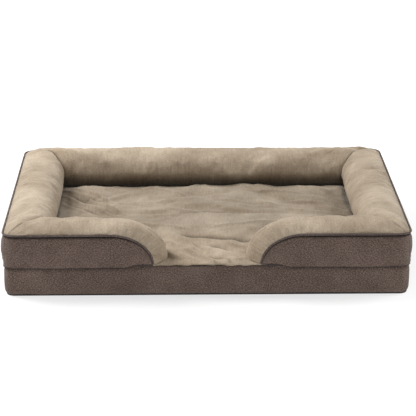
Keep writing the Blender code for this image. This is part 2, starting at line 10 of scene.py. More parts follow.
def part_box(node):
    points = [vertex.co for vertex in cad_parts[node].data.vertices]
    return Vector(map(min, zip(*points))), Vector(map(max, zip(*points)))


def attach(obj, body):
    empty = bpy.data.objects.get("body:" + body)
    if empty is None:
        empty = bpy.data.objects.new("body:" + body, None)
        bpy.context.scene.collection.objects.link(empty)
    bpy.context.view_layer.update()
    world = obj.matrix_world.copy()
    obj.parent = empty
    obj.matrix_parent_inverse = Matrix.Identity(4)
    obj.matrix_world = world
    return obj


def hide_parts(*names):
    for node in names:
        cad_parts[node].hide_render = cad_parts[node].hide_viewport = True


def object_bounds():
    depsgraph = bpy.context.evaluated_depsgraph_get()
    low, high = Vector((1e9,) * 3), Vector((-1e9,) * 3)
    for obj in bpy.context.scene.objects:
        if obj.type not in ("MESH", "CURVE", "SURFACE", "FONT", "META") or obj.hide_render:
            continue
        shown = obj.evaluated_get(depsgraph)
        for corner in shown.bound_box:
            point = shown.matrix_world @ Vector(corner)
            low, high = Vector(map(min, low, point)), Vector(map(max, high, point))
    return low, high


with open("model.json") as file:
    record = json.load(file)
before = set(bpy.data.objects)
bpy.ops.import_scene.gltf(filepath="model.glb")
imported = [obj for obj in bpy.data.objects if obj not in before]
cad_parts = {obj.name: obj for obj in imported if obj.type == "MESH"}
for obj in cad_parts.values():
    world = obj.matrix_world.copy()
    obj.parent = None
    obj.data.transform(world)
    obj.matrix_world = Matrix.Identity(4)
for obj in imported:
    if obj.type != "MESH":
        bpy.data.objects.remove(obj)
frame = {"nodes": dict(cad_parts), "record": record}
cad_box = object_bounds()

# Sizes read from the frame
PLUSH_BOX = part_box("plush_left")
BOTTOM_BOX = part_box("base_bottom_panel")
SLEEP_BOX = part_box("sleep_panel")
FOAM_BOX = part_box("base_foam")
LINER_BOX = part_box("base_liner")

OUTER_X = cad_box[1].x
OUTER_Y = cad_box[1].y
BOLSTER_Z = PLUSH_BOX[0].z
CROWN_RISE = PLUSH_BOX[1].z - BOLSTER_Z
BOLSTER_WIDTH = OUTER_X + PLUSH_BOX[1].x
BASE_X = BOTTOM_BOX[1].x
BASE_Y = BOTTOM_BOX[1].y
BASE_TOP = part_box("base_front_panel")[1].z
ENTRANCE_HALF = -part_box("band_front_left")[1].x
TIP_HALF = -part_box("plush_front_left")[1].x

# Sizes of the sewing, most of which the frame's boxes don't tell: radii, insets from the
# outermost outline, lengths of cloth, thicknesses (_T) and grid steps, in metres
CORD_R = 0.0024
PIPING_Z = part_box("piping")[1].z - CORD_R
PIPING_RISE = PIPING_Z - BOLSTER_Z
BAND_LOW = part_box("band_left")[0].z - BOLSTER_Z
BAND_HIGH = PIPING_RISE - 0.001
BAND_HEIGHT = BAND_HIGH - BAND_LOW
OUTER_R = 0.032
BASE_R = 0.022
INNER_CORNER_R = 0.003
CROWN_INSET = 0.055
PIPING_INSET = 0.004
LIP_INSET = 0.002
ARM_REACH = 0.098
ARM_END_X = ENTRANCE_HALF + ARM_REACH - 0.0027
TIP_REACH = ARM_END_X - TIP_HALF
SECTION_POWER = 2.6
SECTION_LENGTH = 0.195
FOOT_TUCK = 0.017
SEAM_BOW = 0.020
BOW_START, BOW_SPAN, BOW_SPREAD = 0.016, 0.084, 0.050
ARM_SPLIT = 0.56
ARM_TURN = 0.17
COVER_EASE, ARM_END_EASE, BAND_EASE, FILL_EASE = 0.002, 0.001, 0.0006, 0.014
SETTLED, SETTLED_RIGHT = 0.0045, 0.0050
PINCH, PINCH_REACH = 0.0055, 0.014
PLUSH_T = 0.0028
BAND_T = 0.0012
SLEEP_T = 0.0025
SWELL_FRAMES = 18
THREAD_R = 0.00035
STITCH_SHARE = 0.40
FOLD_WIDTH, FOLD_RISE = 0.75, 1.8
STEP = 0.007
BAND_STEP = STEP * 0.75
FILL_STEP = 0.012
COVER_SEED, BAND_SEED, FILL_SEED = 21, 31, 51


def linear(code):
    """An sRGB hex colour as linear RGBA."""
    parts = [int(code[i:i + 2], 16) / 255 for i in (0, 2, 4)]
    return tuple(c / 12.92 if c <= 0.04045 else ((c + 0.055) / 1.055) ** 2.4
                 for c in parts) + (1.0,)


# Materials


def put(thing, **values):
    for key, value in values.items():
        setattr(thing, key, value)


def feed(node, key, source):
    """Set a node's input to a value, or link it from (node, output). A bare node stands for
    its first output."""
    if isinstance(source, bpy.types.Node):
        source = (source, 0)
    if isinstance(source, tuple) and isinstance(source[0], bpy.types.Node):
        node.id_data.links.new(source[0].outputs[source[1]], node.inputs[key])
    else:
        node.inputs[key].default_value = source


def add(mat, kind, *sources, stops=(), **settings):
    """A node with its settings and links. sources feed its first inputs, a setting with a
    capital feeds the input of that name, and stops are a ramp's (place, sRGB hex)."""
    node = mat.node_tree.nodes.new("ShaderNode" + kind)
    named = {key: settings.pop(key) for key in list(settings) if key[0].isupper()}
    put(node, **settings)
    for index, source in enumerate(sources):
        feed(node, index, source)
    for key, source in named.items():
        feed(node, key.replace("_", " "), source)
    if stops:
        elements = node.color_ramp.elements
        while len(elements) < len(stops):
            elements.new(0.5)
        for element, (place, code) in zip(elements, stops):
            element.position = place
            element.color = linear(code)
    return node


def new_material(name, roughness, **sockets):
    material = bpy.data.materials.new(name)
    material.use_nodes = True
    shader = material.node_tree.nodes["Principled BSDF"]
    feed(shader, "Roughness", roughness)
    for key, value in sockets.items():
        feed(shader, key.replace("_", " "), value)
    return material, shader


def woven_heather(name, dark, middle, light, relief_depth=0.0011, edges=None):
    """Melange polyester in a plain weave: matt, with the short light and dark slubs of the
    mixed yarn. The yarn is 0.6 mm; its slubs are drawn 2 to 3 mm long to show. edges are
    the lengths across the cloth of its folded lower edge and its seam under the piping,
    near which its colour is darkened as painted shade."""
    mat, shader = new_material(name, 0.93, Specular_IOR_Level=0.2, Sheen_Weight=0.10,
                                    Sheen_Roughness=0.5)
    at = add(mat, "UVMap", uv_map="cloth")
    warp = add(mat, "Mapping", Vector=at, Scale=(260, 560, 1))
    weft = add(mat, "Mapping", Vector=at, Scale=(620, 270, 1))
    yarn = {"Scale": 1.0, "Detail": 2.0, "Roughness": 0.6}
    across = add(mat, "TexNoise", Vector=warp, **yarn)
    along = add(mat, "TexNoise", Vector=weft, **yarn)
    slubs = add(mat, "Math", across, along, operation="ADD")
    cloudy = add(mat, "TexNoise", Vector=at, Scale=11.0, Detail=4.0, Roughness=0.6)
    faded = add(mat, "Math", cloudy, 0.40, -0.20, operation="MULTIPLY_ADD")
    total = add(mat, "Math", slubs, faded, operation="ADD")
    half = add(mat, "Math", total, 0.5, operation="MULTIPLY")
    colour = add(mat, "ValToRGB", half,
                 stops=((0.38, dark), (0.50, middle), (0.63, light)))
    # Painted shade: near the lower edge the colour darkens to 12%, the shadow line under the
    # bolsters' lip, and just below the seam under the piping likewise, the shade in the groove
    # under the cord.
    if edges:
        hem, seam = edges
        height = (add(mat, "SeparateXYZ", at), "Y")
        low = add(mat, "MapRange", Value=height, From_Min=hem, From_Max=hem + 0.0034,
                  To_Min=0.12, To_Max=1.0)
        high = add(mat, "MapRange", Value=height, From_Min=seam - 0.0085,
                   From_Max=seam - 0.0045, To_Min=1.0, To_Max=0.12)
        painted_edge_shade = add(mat, "Math", low, high, operation="MULTIPLY")
        colour = add(mat, "VectorMath", colour, Scale=painted_edge_shade, operation="SCALE")
    feed(shader, "Base Color", colour)
    ribs = {"Vector": at, "Scale": 180.0, "Distortion": 1.5, "Detail": 2.0}
    rows = add(mat, "TexWave", bands_direction="X", **ribs)
    picks = add(mat, "TexWave", bands_direction="Y", **ribs)
    weave = add(mat, "Math", (rows, "Fac"), (picks, "Fac"), operation="MULTIPLY")
    relief = add(mat, "Math", weave, 0.5, slubs, operation="MULTIPLY_ADD")
    feed(shader, "Normal", add(mat, "Bump", Height=relief, Strength=0.6,
                               Distance=relief_depth))
    return mat


def brushed_plush(name, dark, middle, light):
    """Short polyester plush, brushed after it was cut: matt with a soft sheen at grazing
    angles, lines where the nap parts across the roll, and small clumps of pile. The pile
    is 0.1 mm thick; its clumps are drawn 3 to 5 mm wide to show. Its colour is darkened
    by painted shade, read from an attribute of the mesh."""
    mat, shader = new_material(name, 0.95, Specular_IOR_Level=0.12, Sheen_Weight=0.35,
                                    Sheen_Roughness=0.4, Sheen_Tint=linear("efe6d8"))
    at = add(mat, "UVMap", uv_map="cloth")
    broad = add(mat, "TexNoise", Vector=at, Scale=7.0, Detail=5.0, Roughness=0.6)
    lie = add(mat, "Mapping", Vector=at, Scale=(210, 30, 1))
    parting = add(mat, "TexNoise", Vector=lie, Scale=1.0, Detail=2.0, Roughness=0.5)
    clump = add(mat, "TexNoise", Vector=at, Scale=260.0, Detail=4.0, Roughness=0.7)
    nap = add(mat, "Math", parting, 0.22, broad, operation="MULTIPLY_ADD")
    pile = add(mat, "Math", clump, 0.55, nap, operation="MULTIPLY_ADD")
    share = add(mat, "Math", pile, 1 / 1.77, operation="MULTIPLY")
    colour = add(mat, "ValToRGB", share,
                 stops=((0.38, dark), (0.50, middle), (0.62, light)))
    # Painted shade: the colour darkens to 30% where the mesh's shade attribute is 1, in
    # crevices, seams and fold troughs.
    painted_shade = add(mat, "Attribute", attribute_name="painted_shade")
    shut = add(mat, "MapRange", Value=(painted_shade, "Fac"), To_Min=1.0, To_Max=0.30)
    feed(shader, "Base Color", add(mat, "VectorMath", colour, Scale=shut,
                                   operation="SCALE"))
    relief = add(mat, "Math", parting, 0.7, clump, operation="MULTIPLY_ADD")
    feed(shader, "Normal", add(mat, "Bump", Height=relief, Strength=0.6,
                               Distance=0.0017))
    return mat


def small_grain(name, dark, light, scale=600.0, roughness=0.85, depth=0.0004):
    """A surface with one small grain on object coordinates; scale is grains a metre."""
    mat, shader = new_material(name, roughness)
    at = add(mat, "TexCoord")
    grain = add(mat, "TexNoise", Vector=(at, "Object"), Scale=scale, Detail=4.0)
    feed(shader, "Base Color", add(mat, "ValToRGB", grain,
                                   stops=((0.35, dark), (0.65, light))))
    feed(shader, "Normal", add(mat, "Bump", Height=grain, Strength=0.5, Distance=depth))
    return mat


def enamelled_zinc(name, dark, light):
    """Die-cast zinc under dark enamel: satin, with scuffs drawn 1 mm long to show."""
    mat, shader = new_material(name, 0.38, Metallic=0.8)
    at = add(mat, "TexCoord")
    scuff = add(mat, "TexNoise", Vector=(at, "Object"), Scale=900.0, Detail=4.0)
    feed(shader, "Base Color", add(mat, "ValToRGB", scuff,
                                   stops=((0.4, dark), (0.7, light))))
    feed(shader, "Roughness", add(mat, "MapRange", Value=scuff, To_Min=0.3, To_Max=0.5))
    return mat


def ribbed_tape(name, dark, light):
    """Woven zip tape: flat, with ribs 1.2 mm apart along it."""
    mat, shader = new_material(name, 0.8, Specular_IOR_Level=0.3)
    at = add(mat, "UVMap", uv_map="cloth")
    ribs = add(mat, "TexWave", Vector=at, Scale=260.0, Distortion=0.4,
               bands_direction="Y")
    grain = add(mat, "TexNoise", Vector=at, Scale=900.0)
    mixed = add(mat, "Math", (ribs, "Fac"), grain, operation="MULTIPLY")
    feed(shader, "Base Color", add(mat, "ValToRGB", mixed,
                                   stops=((0.1, dark), (0.5, light))))
    feed(shader, "Normal", add(mat, "Bump", Height=mixed, Strength=0.6, Distance=0.0005))
    return mat


# Outlines and sections, as the bolsters were cut


def smooth(x):
    x = min(1.0, max(0.0, x))
    return x * x * (3 - 2 * x)


def waver(a, b, size, seed):
    """Smooth noise from -1 to 1 over two lengths in metres, with features of a size."""
    return noise.noise(Vector((a / size, b / size, seed)))


def path_half(half, inset):
    """Half length of a bolster's path at an inset, from its middle to its mitre, then the
    straight part of it and the radius of its corner."""
    radius = max(OUTER_R - inset, INNER_CORNER_R)
    straight = half - inset - radius
    return straight + radius * pi / 4, straight, radius


def run_place(half, d, inset):
    """(along, in from the outline) for a distance along a run."""
    _, straight, radius = path_half(half, inset)
    if abs(d) <= straight:
        return d, inset
    turn = (abs(d) - straight) / radius
    deep = inset + radius - radius * cos(turn)
    return copysign(straight + radius * sin(turn), d), deep


def side_place(sx, s, inset):
    """(x, y, distance along) at a share s of a side bolster, front to back."""
    d = (2 * s - 1) * path_half(OUTER_Y, inset)[0]
    along, deep = run_place(OUTER_Y, d, inset)
    return sx * (OUTER_X - deep), along, d


def back_place(s, inset):
    """The same along the back bolster, left to right."""
    d = (2 * s - 1) * path_half(OUTER_X, inset)[0]
    along, deep = run_place(OUTER_X, d, inset)
    return along, OUTER_Y - deep, d


def arm_place(sx, s, inset):
    """The same along a front arm's straight part, from its mitre to its round end."""
    reach = path_half(OUTER_X, inset)[0]
    d = reach - s * (reach - ARM_END_X)
    along, deep = run_place(OUTER_X, d, inset)
    return sx * along, deep - OUTER_Y, d


def run_spot(sx, sy, s, inset):
    """The same along a straight bolster, which is the back one where sy is 1."""
    return back_place(s, inset) if sy else side_place(sx, s, inset)


SHOULDER_SHARE = 0.30
SHOULDER_RISE = CROWN_RISE - PIPING_RISE + CORD_R


def section(w, ease=0.0):
    """(inset, rise) on the plush, from w 0 at the piping over the crown to 1 at its foot,
    which is tucked in under the roll."""
    if w < SHOULDER_SHARE:
        angle = pi / 2 * (0.10 + 0.90 * w / SHOULDER_SHARE)
        inset = CROWN_INSET - (CROWN_INSET - PIPING_INSET - ease) * cos(angle)
        rise = CROWN_RISE - SHOULDER_RISE + (SHOULDER_RISE - ease) * sin(angle)
        return inset, rise
    angle = pi / 2 * (1 - (w - SHOULDER_SHARE) / (1 - SHOULDER_SHARE))
    reach = (BOLSTER_WIDTH - CROWN_INSET - ease) * cos(angle) ** (2 / SECTION_POWER)
    rise = (CROWN_RISE - ease) * sin(angle) ** (2 / SECTION_POWER)
    tuck = FOOT_TUCK * (1 - smooth(rise / 0.040))
    return CROWN_INSET + reach - tuck, rise


def rise_over(inset):
    """Height of the roll over its outline at an inset, on its upper side."""
    if inset < CROWN_INSET:
        share = (CROWN_INSET - inset) / (CROWN_INSET - PIPING_INSET)
        return CROWN_RISE - SHOULDER_RISE * (1 - sqrt(max(0.0, 1 - share * share)))
    share = min(1.0, (inset - CROWN_INSET) / (BOLSTER_WIDTH - CROWN_INSET))
    return CROWN_RISE * (1 - share ** SECTION_POWER) ** (1 / SECTION_POWER)


def bowed(x, y, rise):
    """A point of the plush near a back corner, moved so that the side roll domes over the
    back one's end and their seam bows, on the same outline."""
    across, back = OUTER_X - abs(x), OUTER_Y - y
    share = (min(across, back) - BOW_START) / BOW_SPAN
    reach = SEAM_BOW * sin(pi * min(1.0, max(0.0, share))) ** 1.5
    reach *= exp(-((back - across) / BOW_SPREAD) ** 2)
    if y < 0 or reach < 0.0001:
        return x, y, rise
    before = rise_over(min(across, back))
    return x, y + reach, rise + rise_over(min(across, back - reach)) - before


def settled(x, y, inset, rise):
    """A height on a bolster at the back, where the filling has settled, most on the right."""
    fall = SETTLED + SETTLED_RIGHT * smooth((x + 0.15) / 0.3)
    fall *= smooth((y - 0.10) / 0.13) * smooth((inset - 0.006) / 0.035)
    return rise * (1 - fall / CROWN_RISE)


def face_inset(rise, ease=0.0):
    """How far the outer band lies inside the outermost outline at a height. Its top turns
    in behind the piping."""
    share = min(1.0, max(0.0, (rise - BAND_LOW) / (PIPING_RISE - BAND_LOW)))
    ends = LIP_INSET + (PIPING_INSET - LIP_INSET) * share
    under = 0.0060 * (1 - smooth((PIPING_RISE - 0.0010 - rise) / 0.0070))
    return ends * (1 - sin(pi * share) ** 0.8) + under + ease


# Making cloth


def pick(piece):
    bpy.ops.object.select_all(action="DESELECT")
    piece.select_set(True)
    bpy.context.view_layer.objects.active = piece


def primitive(operator, name, **sizes):
    """One of Blender's simple meshes as a new named piece."""
    bpy.ops.object.select_all(action="DESELECT")
    operator(**sizes)
    piece = bpy.context.object
    piece.name = name
    piece.data.name = name
    return piece


def modify(piece, kind, **settings):
    """Change a piece by one modifier, fixed."""
    pick(piece)
    change = piece.modifiers.new("change", kind)
    put(change, **settings)
    bpy.ops.object.modifier_apply(modifier=change.name)


@contextlib.contextmanager
def edited(piece):
    """A piece's mesh, open for a change that is written back."""
    bm = bmesh.new()
    bm.from_mesh(piece.data)
    yield bm
    bm.to_mesh(piece.data)
    bm.free()


def cloth_grid(name, along, across, place):
    """A grid of cloth whose points are put in place by place(u, v), which also gives each
    point's spot on the flat cloth in metres."""
    piece = primitive(bpy.ops.mesh.primitive_grid_add, name, x_subdivisions=along,
                      y_subdivisions=across, size=1.0)
    mesh = piece.data
    mesh.uv_layers.active.name = "cloth"
    spots = []
    for vert in mesh.vertices:
        u, v = min(1, max(0, vert.co.x + 0.5)), min(1, max(0, vert.co.y + 0.5))
        point, spot = place(u, v)
        spots.append(spot)
        vert.co = point
    uvs = mesh.uv_layers.active.data
    for loop in mesh.loops:
        uvs[loop.index].uv = spots[loop.vertex_index]
    return piece


def face_out(piece, middle):
    """Turn an open sheet so that its faces look away from the middle that lies nearest."""
    total = 0.0
    for face in piece.data.polygons:
        total += face.normal.dot(face.center - middle(face.center)) * face.area
    if total < 0:
        piece.data.flip_normals()


def rim_of(piece):
    """The points on a sheet's open edges."""
    bm = bmesh.new()
    bm.from_mesh(piece.data)
    rim = {vert.index for vert in bm.verts if vert.is_boundary}
    bm.free()
    return rim


def swell(piece, pressure, spare, cap, inward=0.0015, bend=0.6):
    """Inflate a sewn sheet between its held seams. spare is the share of extra cloth,
    which puckers; no point moves further than cap, nor further in than inward."""
    group = piece.vertex_groups.new(name="sewn")
    group.add(sorted(rim_of(piece)), 1.0, "REPLACE")
    start = [(vert.co.copy(), vert.normal.copy()) for vert in piece.data.vertices]
    cloth = piece.modifiers.new("cloth", "CLOTH")
    put(cloth.settings, quality=5, mass=0.25, tension_stiffness=25, compression_stiffness=25,
        shear_stiffness=12, bending_stiffness=bend, tension_damping=12, air_damping=3,
        use_pressure=True, uniform_pressure_force=pressure, shrink_min=-spare,
        shrink_max=-spare, vertex_group_mass=group.name)
    cloth.settings.effector_weights.gravity = 0
    cloth.collision_settings.use_collision = False
    put(cloth.point_cache, frame_start=1, frame_end=SWELL_FRAMES)
    for count in range(1, SWELL_FRAMES + 1):
        bpy.context.scene.frame_set(count)
    pick(piece)
    bpy.ops.object.modifier_apply(modifier=cloth.name)
    bpy.context.scene.frame_set(1)
    for vert, (old, normal) in zip(piece.data.vertices, start):
        step = vert.co - old
        sunk = step.dot(normal)
        if sunk < -inward:
            step -= normal * (sunk + inward)
        if step.length > cap:
            step *= cap / step.length
        vert.co = old + step
    piece.vertex_groups.clear()


def finer(piece):
    """One subdivision."""
    modify(piece, "SUBSURF", levels=1, render_levels=1)


def blown(name, length, width, place, middle, pressure, spare, cap, step=STEP, **settings):
    """A sheet of cloth put in place by place(u, v), then inflated."""
    piece = cloth_grid(name, max(4, round(length / step)), max(4, round(width / step)), place)
    face_out(piece, middle)
    swell(piece, pressure, spare, cap, **settings)
    finer(piece)
    return piece


def work_in(piece, thickness, amount, size, seed, folds=(), painted_shade=None):
    """Uneven rises and folds along each point's normal, in the flat cloth's lengths, none
    at the open edges. size is (along, across); a fold is (start, end, half width, rise).
    The function given last tells, for a spot, how much painted shade the plush gets
    there, from 0 to 1, in crevices and seams; fold troughs deeper than 1.2 mm get painted
    shade too, and the sum is stored on the mesh for its material. The sheet then gets its
    thickness."""
    rim = rim_of(piece)
    uvs = piece.data.uv_layers["cloth"].data
    spots = {loop.vertex_index: uvs[loop.index].uv.copy() for loop in piece.data.loops}
    moves = []
    shade = piece.data.attributes.new("painted_shade", "FLOAT", "POINT")
    for vert in piece.data.vertices:
        spot = spots[vert.index]
        rise = amount * noise.noise(Vector((spot.x / size[0], spot.y / size[1], seed)))
        for (ax, ay), (bx, by), width, height in folds:
            px, py, lx, ly = spot.x - ax, spot.y - ay, bx - ax, by - ay
            share = min(1.0, max(0.0, (px * lx + py * ly) / (lx * lx + ly * ly)))
            gap = hypot(px - lx * share, py - ly * share) / width
            if gap < 4:
                taper = (4 * (0.04 + 0.92 * share) * (0.96 - 0.92 * share)) ** 0.7
                rise += height * taper * exp(-gap ** 1.5)
        moves.append(vert.normal * (0 if vert.index in rim else rise))
        # Painted shade for the plush: the crevice and seam shade at this spot, plus shade in
        # fold troughs.
        deep = painted_shade(spot) if painted_shade else 0.0
        shade.data[vert.index].value = min(1.0, deep + max(0.0, -rise - 0.0012) * 110)
    for vert, move in zip(piece.data.vertices, moves):
        vert.co += move
    thicken(piece, thickness)


def thicken(piece, thickness):
    """Give a sheet its thickness on the inside."""
    modify(piece, "SOLIDIFY", thickness=thickness, offset=-1, use_rim=True)
    bpy.ops.object.shade_smooth()


def repeat(piece, count, step):
    """Copies of a piece in a row, in one mesh."""
    modify(piece, "ARRAY", count=count, use_relative_offset=False, use_constant_offset=True,
           constant_offset_displace=step)


def finish_piece(piece, material, nodes, body="bed"):
    piece.data.materials.clear()
    piece.data.materials.append(material)
    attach(piece, body)
    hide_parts(*nodes)


def core_of(sx, sy):
    """The bolster's middle line nearest to a point, for turning its faces outwards."""
    x, y = sx * (OUTER_X - CROWN_INSET), sy * (OUTER_Y - CROWN_INSET)
    z = BOLSTER_Z + CROWN_RISE * 0.45
    return lambda point: Vector((point.x, y, z) if sy else (x, point.y, z))


# Bolsters

# Half width and rise of a gather in the plush at a seam, and half width of a band's fold
GATHER = (0.0042, -0.0019)
BAND_FOLD = 0.0036


def roll_painted_shade(half):
    """How much painted shade a roll's pile gets: at its tucked foot, which curls into the dark
    crevice, and in the seam grooves along its mitred ends.
    """
    def painted_shade(spot):
        v = min(1.0, max(0.0, spot.y / SECTION_LENGTH))
        foot = smooth((v - 0.78) / 0.20) ** 1.3
        end = path_half(half, section(v)[0])[0] - abs(spot.x)
        return min(1.0, foot + 0.55 * exp(-max(0.0, end) / 0.0035) * smooth(v / 0.2))
    return painted_shade


def corner_folds(half, front, seed):
    """Gathers that spread from a cover's outer corners and its inner corners."""
    folds = []
    for end, count in ((-1, front), (1, 3)):
        outer = end * (path_half(half, PIPING_INSET)[0] - 0.004)
        inner = end * (path_half(half, BOLSTER_WIDTH)[0] - 0.004)
        for k in range(count):
            angle = radians(14 + 62 * (k + 0.5 * waver(k, seed, 0.7, 1)) / max(1, count - 1))
            reach = 0.042 + 0.018 * waver(k, seed, 0.9, 2)
            tip = (outer - end * reach * cos(angle), 0.003 + reach * sin(angle))
            folds.append(((outer, 0.001), tip, *GATHER))
        for k in range(4):
            start = (inner - end * (0.002 + 0.012 * k), SECTION_LENGTH - 0.010)
            deep = 0.050 + 0.012 * waver(k, seed, 0.8, 3)
            tip = (start[0] - end * 0.014, SECTION_LENGTH - deep)
            folds.append((start, tip, 0.0045, -0.0018))
    return folds


def pinched(near, rise):
    """How far a mitred seam draws the plush down at a distance from it."""
    return PINCH * exp(-(near / PINCH_REACH) ** 2) * smooth(rise / 0.05)


def plush_run(name, sx, sy, seed):
    """A straight bolster's plush, from mitre to mitre."""
    half = OUTER_X if sy else OUTER_Y
    length = 2 * path_half(half, CROWN_INSET)[0]

    def place(u, v):
        inset, rise = section(v, COVER_EASE)
        x, y, d = run_spot(sx, sy, u, inset)
        rise = settled(x, y, inset, rise)
        if v < 0.80:
            x, y, rise = bowed(x, y, rise)
        pinch = pinched(min(u, 1 - u) * length, rise)
        sway = 0.0022 * waver(d, 0, 0.16, seed) * sin(pi * v)
        return (x, y, BOLSTER_Z + rise - pinch + sway), (d, v * SECTION_LENGTH)

    piece = blown(name, length, SECTION_LENGTH, place, core_of(sx, sy), pressure=3.0,
                  spare=0.012 if sy else 0.030, cap=0.005, bend=1.5 if sy else 0.6)
    folds = corner_folds(half, 3 if sy else 4, seed)
    work_in(piece, PLUSH_T, 0.0011, (0.013, 0.075), seed, folds, roll_painted_shade(half))
    return piece


def end_reach(rise):
    """Half length of the arm's round end for a height on its section."""
    above = rise - PIPING_RISE
    if above > 0:
        return ARM_REACH + (TIP_REACH - ARM_REACH) * above / (CROWN_RISE - PIPING_RISE)
    return ARM_REACH + 1.2 * above


def arm_point(sx, u, inset, rise, back):
    """(x, y, z, distance along) on a front arm, straight and then round its end, which it
    stays back from. z is over the bolsters' foot."""
    if u <= ARM_SPLIT:
        x, y, d = arm_place(sx, u / ARM_SPLIT, inset)
        return x, y, rise, d
    angle = pi / 2 * (u - ARM_SPLIT) / (1 - ARM_SPLIT)
    x = ARM_END_X - (end_reach(rise) - back) * sin(angle)
    return sx * x, inset - OUTER_Y, rise * cos(angle), ARM_END_X - ARM_TURN * angle / (pi / 2)


def plush_arm(name, sx, sy, seed):
    """A front arm's plush, from its mitre round its end down to the floor."""
    straight = path_half(OUTER_X, CROWN_INSET)[0] - ARM_END_X

    def place(u, v):
        inset, rise = section(v, COVER_EASE)
        x, y, z, d = arm_point(sx, u, inset, rise, ARM_END_EASE)
        pinch = pinched(u * straight / ARM_SPLIT, rise)
        sway = 0.002 * waver(d, 3, 0.12, seed) * sin(pi * v)
        z += BOLSTER_Z - pinch + sway * smooth(z / 0.03)
        return (x, y, z), (d, v * SECTION_LENGTH)

    cut = straight + ARM_TURN
    piece = blown(name, cut, SECTION_LENGTH, place, core_of(0, sy), pressure=3.0, spare=0.04,
                  cap=0.006)
    corner = path_half(OUTER_X, PIPING_INSET)[0]
    folds = []
    for k in range(4):
        angle = radians(15 + 20 * k)
        reach = 0.045 + 0.015 * waver(k, seed, 0.9, 2)
        tip = (corner - reach * cos(angle), reach * sin(angle))
        folds.append(((corner - 0.003, 0.001), tip, *GATHER))
    for k in range(10):
        d = ARM_END_X + 0.012 - 0.0175 * k + 0.004 * waver(k, seed, 0.8, 4)
        deep = 0.030 + 0.012 * waver(k, seed, 0.7, 5)
        folds.append(((d, 0.001), (d + 0.004, deep), 0.0038, -0.0024))
    for k in range(3):
        v = 0.060 + 0.020 * k
        folds.append(((ARM_END_X - 0.055, v), (ARM_END_X - 0.120, v - 0.012), 0.0050, -0.0024))
    work_in(piece, PLUSH_T, 0.0011, (0.016, 0.045), seed, folds, roll_painted_shade(OUTER_X))
    return piece


def band_cloth(name, length, place, middle, folds, seed):
    """A bolster's outer band of woven cloth, with its folds."""
    piece = blown(name, length, BAND_HEIGHT, place, middle, pressure=1.0, spare=0.02,
                  cap=0.003, step=BAND_STEP, inward=0.001)
    work_in(piece, BAND_T, 0.0007, (0.050, 0.020), seed, folds)
    return piece


def band_sag(d, v, seed):
    return 0.0013 * waver(d, 0, 0.10, seed) * (1 - v)


def band_run(name, sx, sy, seed):
    """A straight bolster's outer band, from its lower lip up behind the piping."""
    half = OUTER_X if sy else OUTER_Y
    length = 2 * path_half(half, 0)[0]

    def place(u, v):
        rise = BAND_LOW + BAND_HEIGHT * v
        inset = face_inset(rise, BAND_EASE)
        x, y, d = run_spot(sx, sy, u, inset)
        return Vector((x, y, BOLSTER_Z + rise + band_sag(d, v, seed))), (d, rise)

    folds = []
    for end in (-1, 1):
        corner = end * path_half(half, 0)[0]
        for k in range(3):
            z = BAND_LOW + 0.006 + 0.011 * k
            tip = (corner - end * (0.045 + 0.010 * k), z + 0.006 * waver(k, seed, 0.8, 6))
            folds.append(((corner - end * 0.004, z - 0.004), tip, BAND_FOLD, -0.0013))
    piece = band_cloth(name, length, place, core_of(sx, sy), folds, seed)
    return piece


def arm_band(name, sx, sy, seed):
    """A front arm's band, whose top edge comes down round the arm's end."""
    half = path_half(OUTER_X, 0)[0]
    length = half - ARM_END_X + ARM_REACH
    split = 1 - ARM_REACH / length
    last = acos(0.004 / BAND_HIGH)

    def place(u, v):
        rise = BAND_LOW + BAND_HEIGHT * v
        inset = face_inset(rise, BAND_EASE)
        if u <= split:
            x, y, d = arm_place(sx, u / split, inset)
            spot = (d, rise)
        else:
            share = (u - split) / (1 - split)
            angle = last * share ** 0.8
            bottom = BAND_LOW * (1 - smooth((share - 0.14) / 0.28))
            top = BAND_HIGH * cos(angle)
            rise = bottom + (top - bottom) * v
            d = ARM_END_X - (ARM_REACH - CORD_R * 0.6) * sin(angle)
            x, y = sx * d, inset - OUTER_Y
            spot = (d, BAND_HIGH - (top - rise) if v > 0.5 else BAND_LOW + rise - bottom)
        return Vector((x, y, BOLSTER_Z + rise + band_sag(d, v, seed))), spot

    folds = [((half - x0, BAND_LOW + z0), (half - x1, BAND_LOW + z1), BAND_FOLD, rise)
             for x0, z0, x1, z1, rise in ((0.006, 0.004, 0.060, 0.012, -0.0014),
                                          (0.010, 0.014, 0.070, 0.018, -0.0012),
                                          (0.012, 0.030, 0.040, 0.022, -0.0012))]
    piece = band_cloth(name, length, place, core_of(0, sy), folds, seed)
    return piece


def closed_section(v, ease):
    """(inset, rise) round a whole fill: 0 at its outer foot, over the crown to its inner
    foot and back along its underside."""
    low = 0.002
    if v < 0.25:
        rise = low + (PIPING_RISE - 0.004 - low) * v / 0.25
        return face_inset(rise, ease + 0.001), rise
    if v < 0.80:
        inset, rise = section((v - 0.25) / 0.55, ease)
        return max(inset, PIPING_INSET + ease), max(rise, low)
    first, last = section(1.0, ease)[0], LIP_INSET + ease + 0.002
    return first + (last - first) * (v - 0.80) / 0.20, low


